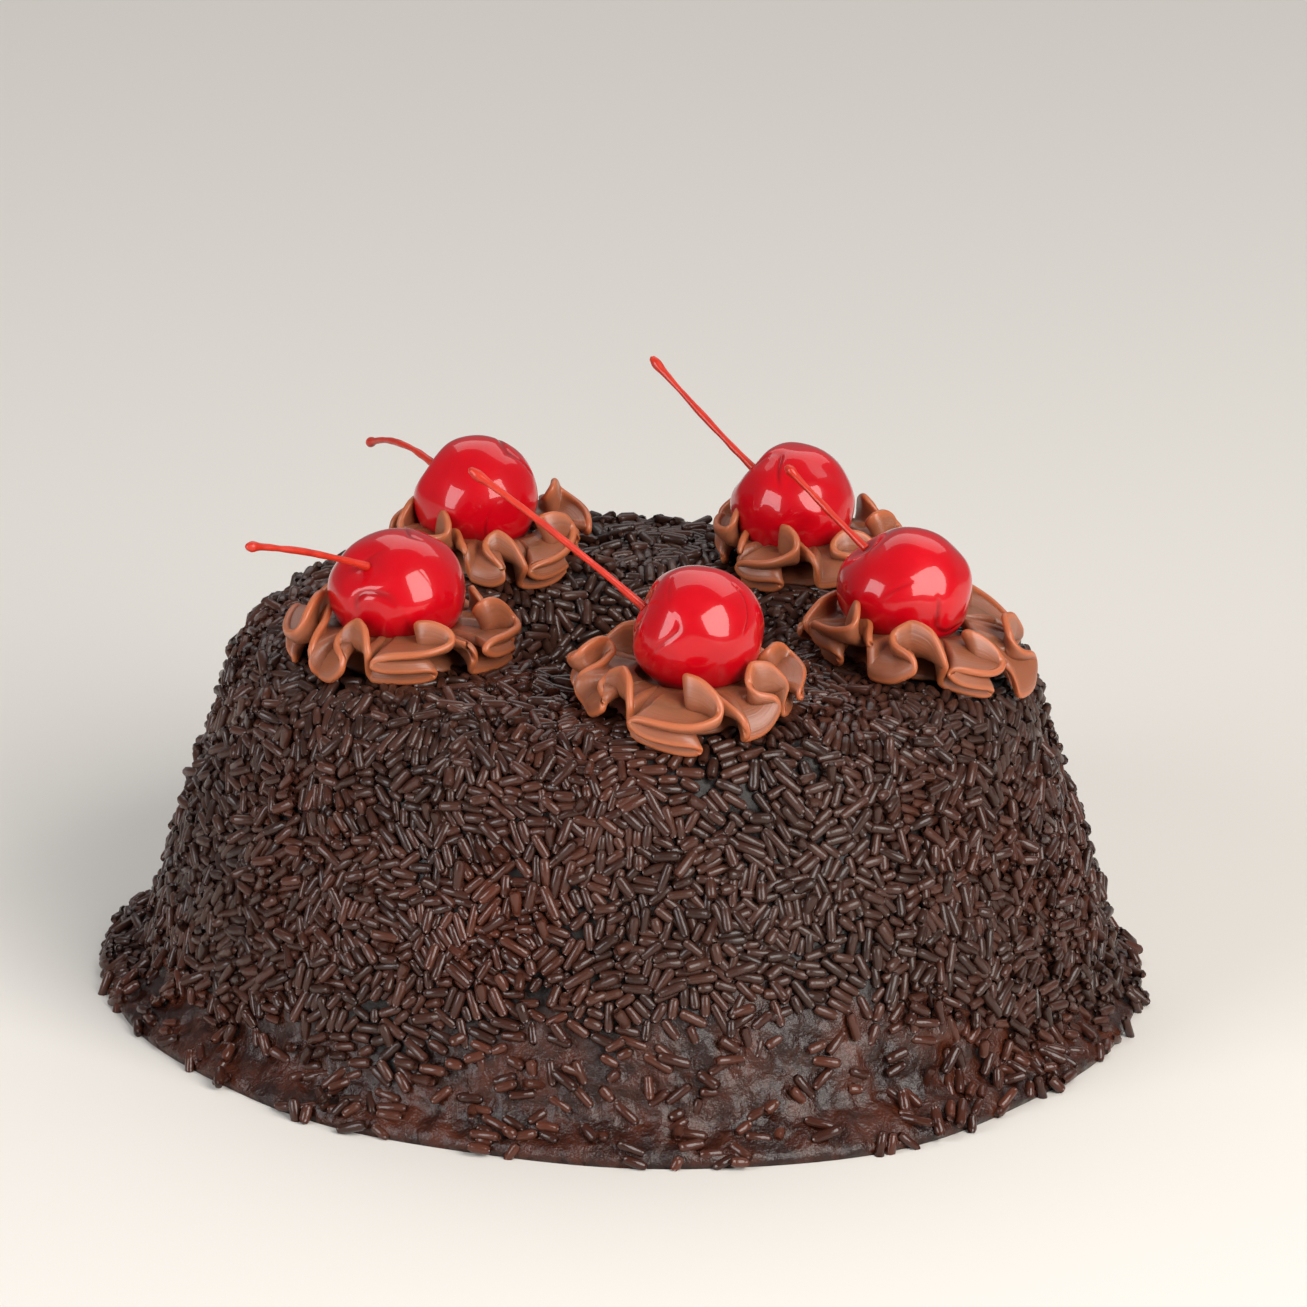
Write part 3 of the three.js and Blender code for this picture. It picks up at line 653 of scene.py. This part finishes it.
def make_mound(rosette):
    """The low mound under the ribbon: its section turned round the rosette's middle and draped."""
    radius, height = np.array(MOUND, dtype=float).T
    length = np.concatenate([[0], np.cumsum(np.hypot(np.diff(radius), np.diff(height)))])
    even = np.linspace(0, length[-1], MOUND_ROWS)
    radius, height = np.interp(even, length, radius), np.interp(even, length, height)
    turn = np.linspace(0, 2 * np.pi, MOUND_COLUMNS, endpoint=False)
    x = rosette["centre"][0] + radius[:, None] * np.cos(turn)
    y = rosette["centre"][1] + radius[:, None] * np.sin(turn)
    points = np.stack([x, y, resting_height(np.hypot(x, y)) + height[:, None]], axis=-1)
    return points.reshape(-1, 3), sheet_faces(MOUND_ROWS, MOUND_COLUMNS, False, True)


def ganache_material():
    """Satin milk brown ganache that lets light through at its thin rims, with the nozzle's lines. The thin
    rims are also painted brighter orange: a painted glow of light through them.
    """
    material, shader = new_material("piped_ganache")
    place = add_node(material, "ShaderNodeTexCoord")
    edge = add_node(material, "ShaderNodeAttribute", attribute_name="edge").outputs["Fac"]
    cloud = add_node(material, "ShaderNodeTexNoise",
                     {"Vector": place.outputs["Object"], "Scale": 160, "Detail": 3}).outputs["Fac"]
    stretch = add_node(material, "ShaderNodeMapping",
                       {"Vector": place.outputs["UV"], "Scale": (0.12, 9.0, 1.0)}).outputs["Vector"]
    lines = add_node(material, "ShaderNodeTexNoise",
                     {"Vector": stretch, "Scale": 2.4, "Detail": 2, "Roughness": 0.6}).outputs["Fac"]
    bump = add_node(material, "ShaderNodeBump",
                    {"Strength": 0.22, "Distance": 0.0005, "Height": lines})
    body = blend_colours(material, cloud, (0.235, 0.072, 0.031), (0.305, 0.096, 0.043))
    set_inputs(material, shader, {
        # Where the edge attribute is 1 the colour is painted brighter orange: a painted glow of light
        # through the thin rims, besides the subsurface glow.
        "Base Color": blend_colours(material, edge, body, (0.42, 0.115, 0.040)),
        "Roughness": 0.42, "Subsurface Weight": 0.35, "Subsurface Radius": (1.0, 0.28, 0.10),
        "Subsurface Scale": 0.0022, "Coat Weight": 0.15, "Coat Roughness": 0.25,
        "Normal": bump.outputs["Normal"]})
    return material


def make_rosette(rosette, material):
    """A rosette: its ribbon and its mound in one piece."""
    ribbon, ribbon_faces, edge, uv = make_ribbon(rosette)
    mound, mound_faces = make_mound(rosette)
    points = np.concatenate([ribbon, mound])
    faces = np.concatenate([ribbon_faces, mound_faces + len(ribbon)])
    edge = np.concatenate([edge, np.zeros(len(mound))])
    uv = np.concatenate([uv, mound[:, :2] * UV_SCALE])
    return make_piece(f"rosette_of_ganache_{rosette['name']}", points, [faces], [material],
                      {"edge": edge}, uv)


GANACHE = ganache_material()
for rosette in ROSETTES:
    piece = make_rosette(rosette, GANACHE)
    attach(piece, "root")
    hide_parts(f"rosette_{rosette['name']}")

# ---------------------------------------------------------------------------------------------
# The cherries: pitted cherries steeped in red syrup, glossy and a little wrinkled, each pressed
# into its rosette with its stem left in.
# ---------------------------------------------------------------------------------------------
# Where each stem leaves its cherry, where it bends and where it ends, from the cherry's middle.
STEMS = {
    1: {"root": (-11, 0, 4.5), "bend": (-25, 4, 16), "knob": (-38.7, 10, 23.5)},
    2: {"root": (-6, -7, 7), "bend": (-16, -14, 11.5), "knob": (-24.5, -20, 13.1)},
    3: {"root": (-9, 3, 5.6), "bend": (-15, 11, 8), "knob": (-20, 21, 2.6)},
    4: {"root": (-8.6, 3, 6.4), "bend": (-17, 11, 12.5), "knob": (-25.9, 18, 20.6)},
    5: {"root": (-8, 1, 8), "bend": (-14.5, 6, 12.5), "knob": (-20.6, 10, 18)},
}
CHERRIES = {
    1: {"middle": (10.7, -45.3, 78.6), "wide": 11.1, "tall": 11.0},
    2: {"middle": (-40.1, -22.0, 76.4), "wide": 11.6, "tall": 10.5},
    3: {"middle": (-28.9, 33.5, 76.4), "wide": 11.0, "tall": 10.5},
    4: {"middle": (27.2, 35.4, 76.3), "wide": 10.9, "tall": 10.5},
    5: {"middle": (45.8, -13.1, 76.7), "wide": 11.6, "tall": 10.6},
}
DIMPLE_DEPTH = 0.16
DIMPLE_WIDTH = 0.36
CREASE_DEPTH = 0.03
CREASE_WIDTH = 0.13
CREASE_LENGTH = 1.5
# Creases come in patches of this length, where a second random field lies between these values.
CREASE_PATCH_LENGTH = 1.6
CREASE_PATCH_LEVELS = (0.1, 1.1)
# Dents, each (size, length, first seed), as shares of the cherry's size.
CHERRY_DENTS = [(0.016, 1.5, 20), (0.006, 0.6, 30)]
CHERRY_ROWS = 120
CHERRY_COLUMNS = 180


def cherry_axes(number):
    """A cherry's half width, half depth and half height, and the direction to its stem on a ball."""
    size = np.array([CHERRIES[number]["wide"]] * 2 + [CHERRIES[number]["tall"]])
    stemward = np.array(STEMS[number]["root"]) / size
    return size, stemward / np.linalg.norm(stemward)


def square_axes(direction):
    """Two directions square to the given one and to each other."""
    first = np.cross(direction, [0.3, 0.2, 0.9])
    first /= np.linalg.norm(first)
    return first, np.cross(direction, first)


def capped_faces(rows, columns):
    """The faces of a tube of rows of columns, and the fans that close it on two poles after them."""
    tube = sheet_faces(rows, columns, False, True)[:, ::-1]
    column = np.arange(columns)
    following = (column + 1) % columns
    pole, last = rows * columns, (rows - 1) * columns
    fans = np.concatenate([
        np.stack([np.full(columns, pole), column, following], axis=1),
        np.stack([np.full(columns, pole + 1), last + following, last + column], axis=1)])
    return [tube, fans]


def make_cherry(number, material):
    """A ball about the stem's direction, dimpled there by a bell curve, with random dents, and with
    creases: a bell curve of a random field about zero, times the share of the creased patches."""
    size, stemward = cherry_axes(number)
    first, second = square_axes(stemward)
    away = np.linspace(0, np.pi, CHERRY_ROWS + 2)[1:-1][:, None]
    turn = np.linspace(0, 2 * np.pi, CHERRY_COLUMNS, endpoint=False)[None, :]
    away, turn = (grid.ravel()[:, None] for grid in np.broadcast_arrays(away, turn))
    ball = np.cos(away) * stemward + np.sin(away) * (np.cos(turn) * first + np.sin(turn) * second)
    ball = np.concatenate([ball, [stemward, -stemward]])
    away = np.concatenate([away[:, 0], [0, np.pi]])
    field = ripples(ball, CREASE_LENGTH, 40 + number)
    patches = smoothstep(*CREASE_PATCH_LEVELS, ripples(ball, CREASE_PATCH_LENGTH, 60 + number))
    crease = np.exp(-(field / CREASE_WIDTH) ** 2) * patches
    reach = 1 - DIMPLE_DEPTH * np.exp(-(away / DIMPLE_WIDTH) ** 2)
    reach += lumps(ball, [(size, length, seed + number) for size, length, seed in CHERRY_DENTS])
    reach -= CREASE_DEPTH * crease
    points = np.array(CHERRIES[number]["middle"]) + ball * reach[:, None] * size
    # The crease share is also kept for the material, which paints the creases darker as painted shade.
    return make_piece(f"syrup_cherry_{number}", points, capped_faces(CHERRY_ROWS, CHERRY_COLUMNS),
                      [material], {"crease": np.clip(crease, 0, 1)})


def cherry_material():
    """Bright red flesh that glows a little within, under a clear wet syrup coat. The creases are painted a
    darker red: painted shade.
    """
    material, shader = new_material("syrup_cherry")
    place = add_node(material, "ShaderNodeTexCoord").outputs["Object"]
    crease = add_node(material, "ShaderNodeAttribute", attribute_name="crease").outputs["Fac"]
    cloud = add_node(material, "ShaderNodeTexNoise",
                     {"Vector": place, "Scale": 120, "Detail": 3}).outputs["Fac"]
    skin = blend_colours(material, cloud, (0.38, 0.0004, 0.005), (0.58, 0.0010, 0.008))
    fine = add_node(material, "ShaderNodeTexNoise",
                    {"Vector": place, "Scale": 260, "Detail": 2}).outputs["Fac"]
    bump = add_node(material, "ShaderNodeBump", {"Strength": 0.12, "Distance": 0.0008, "Height": fine})
    set_inputs(material, shader, {
        # The creases are painted a darker red: painted shade in them.
        "Base Color": blend_colours(material, crease, skin, (0.30, 0.0005, 0.0035)),
        "Roughness": 0.3, "Specular IOR Level": 0.12, "Coat IOR": 1.38,
        "Subsurface Weight": 0.2, "Subsurface Radius": (1.0, 0.06, 0.04),
        "Subsurface Scale": 0.004, "Coat Weight": 1.0, "Coat Roughness": 0.03,
        "Normal": bump.outputs["Normal"]})
    return material


CHERRY_SKIN = cherry_material()
for number in CHERRIES:
    piece = make_cherry(number, CHERRY_SKIN)
    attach(piece, "root")
    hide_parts(f"cherry_{number}")

# ---------------------------------------------------------------------------------------------
# The stems: thin dried stalks dyed red by the syrup, with small nodes along them and a knob where
# they were picked.
# ---------------------------------------------------------------------------------------------
STEM_RADIUS = 0.62
KNOB_RADIUS = 0.98
STEM_SIDES = 18
STEM_STEPS = 110
# How thick the stem is along its length, as shares of its radius.
STEM_GIRTHS = [(0, 1.25), (0.12, 1.0), (0.3, 0.88), (0.5, 1.05), (0.7, 0.85), (0.88, 1.0),
               (0.95, KNOB_RADIUS / STEM_RADIUS), (0.985, 1.35), (1.0, 0.6)]
# A swelling's size and length, the steps by which the girth is eased either way, and the last bulge.
STEM_LUMPS = (0.03, 3.5)
EASED_GIRTHS = 3
STEM_TIP = 0.4
STEM_GAP = 0.3


def make_stem(number, material):
    """A tube along a curve of the second order from the dimple over the bend to the knob, as thick as
    its girths say, with small random swellings."""
    cherry, stem = CHERRIES[number], STEMS[number]
    size, stemward = cherry_axes(number)
    foot = stemward * size * (1 - DIMPLE_DEPTH + STEM_GAP / cherry["wide"])
    share = np.linspace(0, 1, STEM_STEPS)[:, None]
    bend, knob = np.array(stem["bend"], dtype=float), np.array(stem["knob"], dtype=float)
    course = foot * (1 - share) ** 2 + 2 * bend * share * (1 - share) + knob * share ** 2
    ahead = np.gradient(course, axis=0)
    ahead /= np.linalg.norm(ahead, axis=1, keepdims=True)
    side = np.cross(ahead, [0.1, 0.2, 1.0])
    side /= np.linalg.norm(side, axis=1, keepdims=True)
    above = np.cross(side, ahead)
    turn = np.linspace(0, 2 * np.pi, STEM_SIDES, endpoint=False)
    girth = STEM_RADIUS * np.interp(share[:, 0], *np.array(STEM_GIRTHS).T)
    mean = np.ones(2 * EASED_GIRTHS + 1) / (2 * EASED_GIRTHS + 1)
    girth = np.convolve(np.pad(girth, EASED_GIRTHS, mode="edge"), mean, mode="valid")
    circle = side[:, None] * np.cos(turn)[None, :, None] + above[:, None] * np.sin(turn)[None, :, None]
    points = course[:, None] + circle * girth[:, None, None]
    points = points.reshape(-1, 3) + np.array(cherry["middle"])
    swelling = lumps(points, [(*STEM_LUMPS, 80 + number)])
    points = points + circle.reshape(-1, 3) * swelling[:, None]
    ends = np.array([foot, course[-1] + ahead[-1] * STEM_TIP]) + np.array(cherry["middle"])
    return make_piece(f"cherry_stalk_{number}", np.concatenate([points, ends]),
                      capped_faces(STEM_STEPS, STEM_SIDES), [material])


def stem_material():
    """Dried stalk stained orange red, mottled, with a syrup gloss."""
    material, shader = new_material("syrup_stalk")
    place = add_node(material, "ShaderNodeTexCoord").outputs["Object"]
    mottle = add_node(material, "ShaderNodeTexNoise",
                      {"Vector": place, "Scale": 420, "Detail": 3, "Roughness": 0.6}).outputs["Fac"]
    bump = add_node(material, "ShaderNodeBump", {"Strength": 0.3, "Distance": 0.0004, "Height": mottle})
    set_inputs(material, shader, {
        "Base Color": blend_colours(material, mottle, (0.36, 0.008, 0.005), (0.62, 0.04, 0.012)),
        "Roughness": 0.4, "Specular IOR Level": 0.3, "Subsurface Weight": 0.15,
        "Subsurface Radius": (1.0, 0.1, 0.05), "Subsurface Scale": 0.0012, "Coat Weight": 0.3,
        "Coat Roughness": 0.1, "Normal": bump.outputs["Normal"]})
    return material


STALK = stem_material()
for number in STEMS:
    piece = make_stem(number, STALK)
    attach(piece, "root")
    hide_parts(f"stem_{number}")

# ---------------------------------------------------------------------------------------------
# The setting: a plain pale floor, soft studio lights and the camera at the photograph's place.
# ---------------------------------------------------------------------------------------------
FLOOR_REACH = 4.0
FLOOR_COLOUR = (0.74, 0.705, 0.66)
FLOOR_ROUGHNESS = 0.8
CAMERA_PLACE = (0.00596, -1.21453, 0.46209)
CAMERA_PITCH = 0.320261
CAMERA_YAW = -0.0020983
CAMERA_ROLL = 0.0326325
CAMERA_LENS = 203.956
CAMERA_SENSOR = 36
CAMERA_REACH = 20
LIGHT_AIM = (0, 0, 0.05)
SKY_COLOUR = (0.86, 0.88, 0.9)
SKY_STRENGTH = 0.22
# Each light: its place, its width and height, its power and its colour.
LIGHTS = {
    "window": ((0.70, -0.75, 0.66), (0.80, 1.00), 20.0, (1.0, 0.97, 0.93)),
    "far_window": ((-0.85, -0.72, 0.46), (0.55, 0.80), 9.0, (0.96, 0.98, 1.0)),
    "overhead": ((0.15, 1.1, 1.5), (2.4, 1.2), 13.0, (1.0, 0.98, 0.96)),
}


def make_floor():
    """A flat square of plain pale floor, level with the flan's underside."""
    material, shader = new_material("pale_floor")
    set_inputs(material, shader, {"Base Color": (*FLOOR_COLOUR, 1), "Roughness": FLOOR_ROUGHNESS})
    reach = FLOOR_REACH / MM
    points = np.array([(-reach, -reach, 0), (reach, -reach, 0), (reach, reach, 0), (-reach, reach, 0)])
    return make_piece("floor", points.astype(float), [np.array([[0, 1, 2, 3]])], [material])


def add_light(name, place, size, power, colour):
    """A rectangular lamp that faces the flan."""
    lamp = bpy.data.lights.new(name, "AREA")
    lamp.shape = "RECTANGLE"
    lamp.size, lamp.size_y = size
    lamp.energy = power
    lamp.color = colour
    holder = bpy.data.objects.new(name, lamp)
    holder.location = place
    aim = Vector(LIGHT_AIM) - Vector(place)
    holder.rotation_euler = aim.to_track_quat("-Z", "Y").to_euler()
    bpy.context.scene.collection.objects.link(holder)


def add_camera():
    """The camera, turned by its yaw and pitch and then rolled about its own line of sight."""
    lens = bpy.data.cameras.new("camera")
    lens.sensor_width = CAMERA_SENSOR
    lens.lens = CAMERA_LENS
    lens.clip_end = CAMERA_REACH
    holder = bpy.data.objects.new("camera", lens)
    ahead = Vector((math.sin(CAMERA_YAW) * math.cos(CAMERA_PITCH),
                    math.cos(CAMERA_YAW) * math.cos(CAMERA_PITCH), -math.sin(CAMERA_PITCH)))
    level = Vector((math.cos(CAMERA_YAW), -math.sin(CAMERA_YAW), 0))
    up = level.cross(ahead)
    right = level * math.cos(CAMERA_ROLL) + up * math.sin(CAMERA_ROLL)
    top = up * math.cos(CAMERA_ROLL) - level * math.sin(CAMERA_ROLL)
    turned = Matrix((right, top, -ahead)).transposed()
    holder.matrix_world = Matrix.Translation(CAMERA_PLACE) @ turned.to_4x4()
    bpy.context.scene.collection.objects.link(holder)
    bpy.context.scene.camera = holder


make_floor()
for name, (place, size, power, colour) in LIGHTS.items():
    add_light(name, place, size, power, colour)
add_camera()
sky = bpy.data.worlds.new("soft_room")
sky.use_nodes = True
set_inputs(sky, sky.node_tree.nodes["Background"], {"Color": (*SKY_COLOUR, 1), "Strength": SKY_STRENGTH})
bpy.context.scene.world = sky
bpy.context.scene.view_settings.view_transform = "Standard"
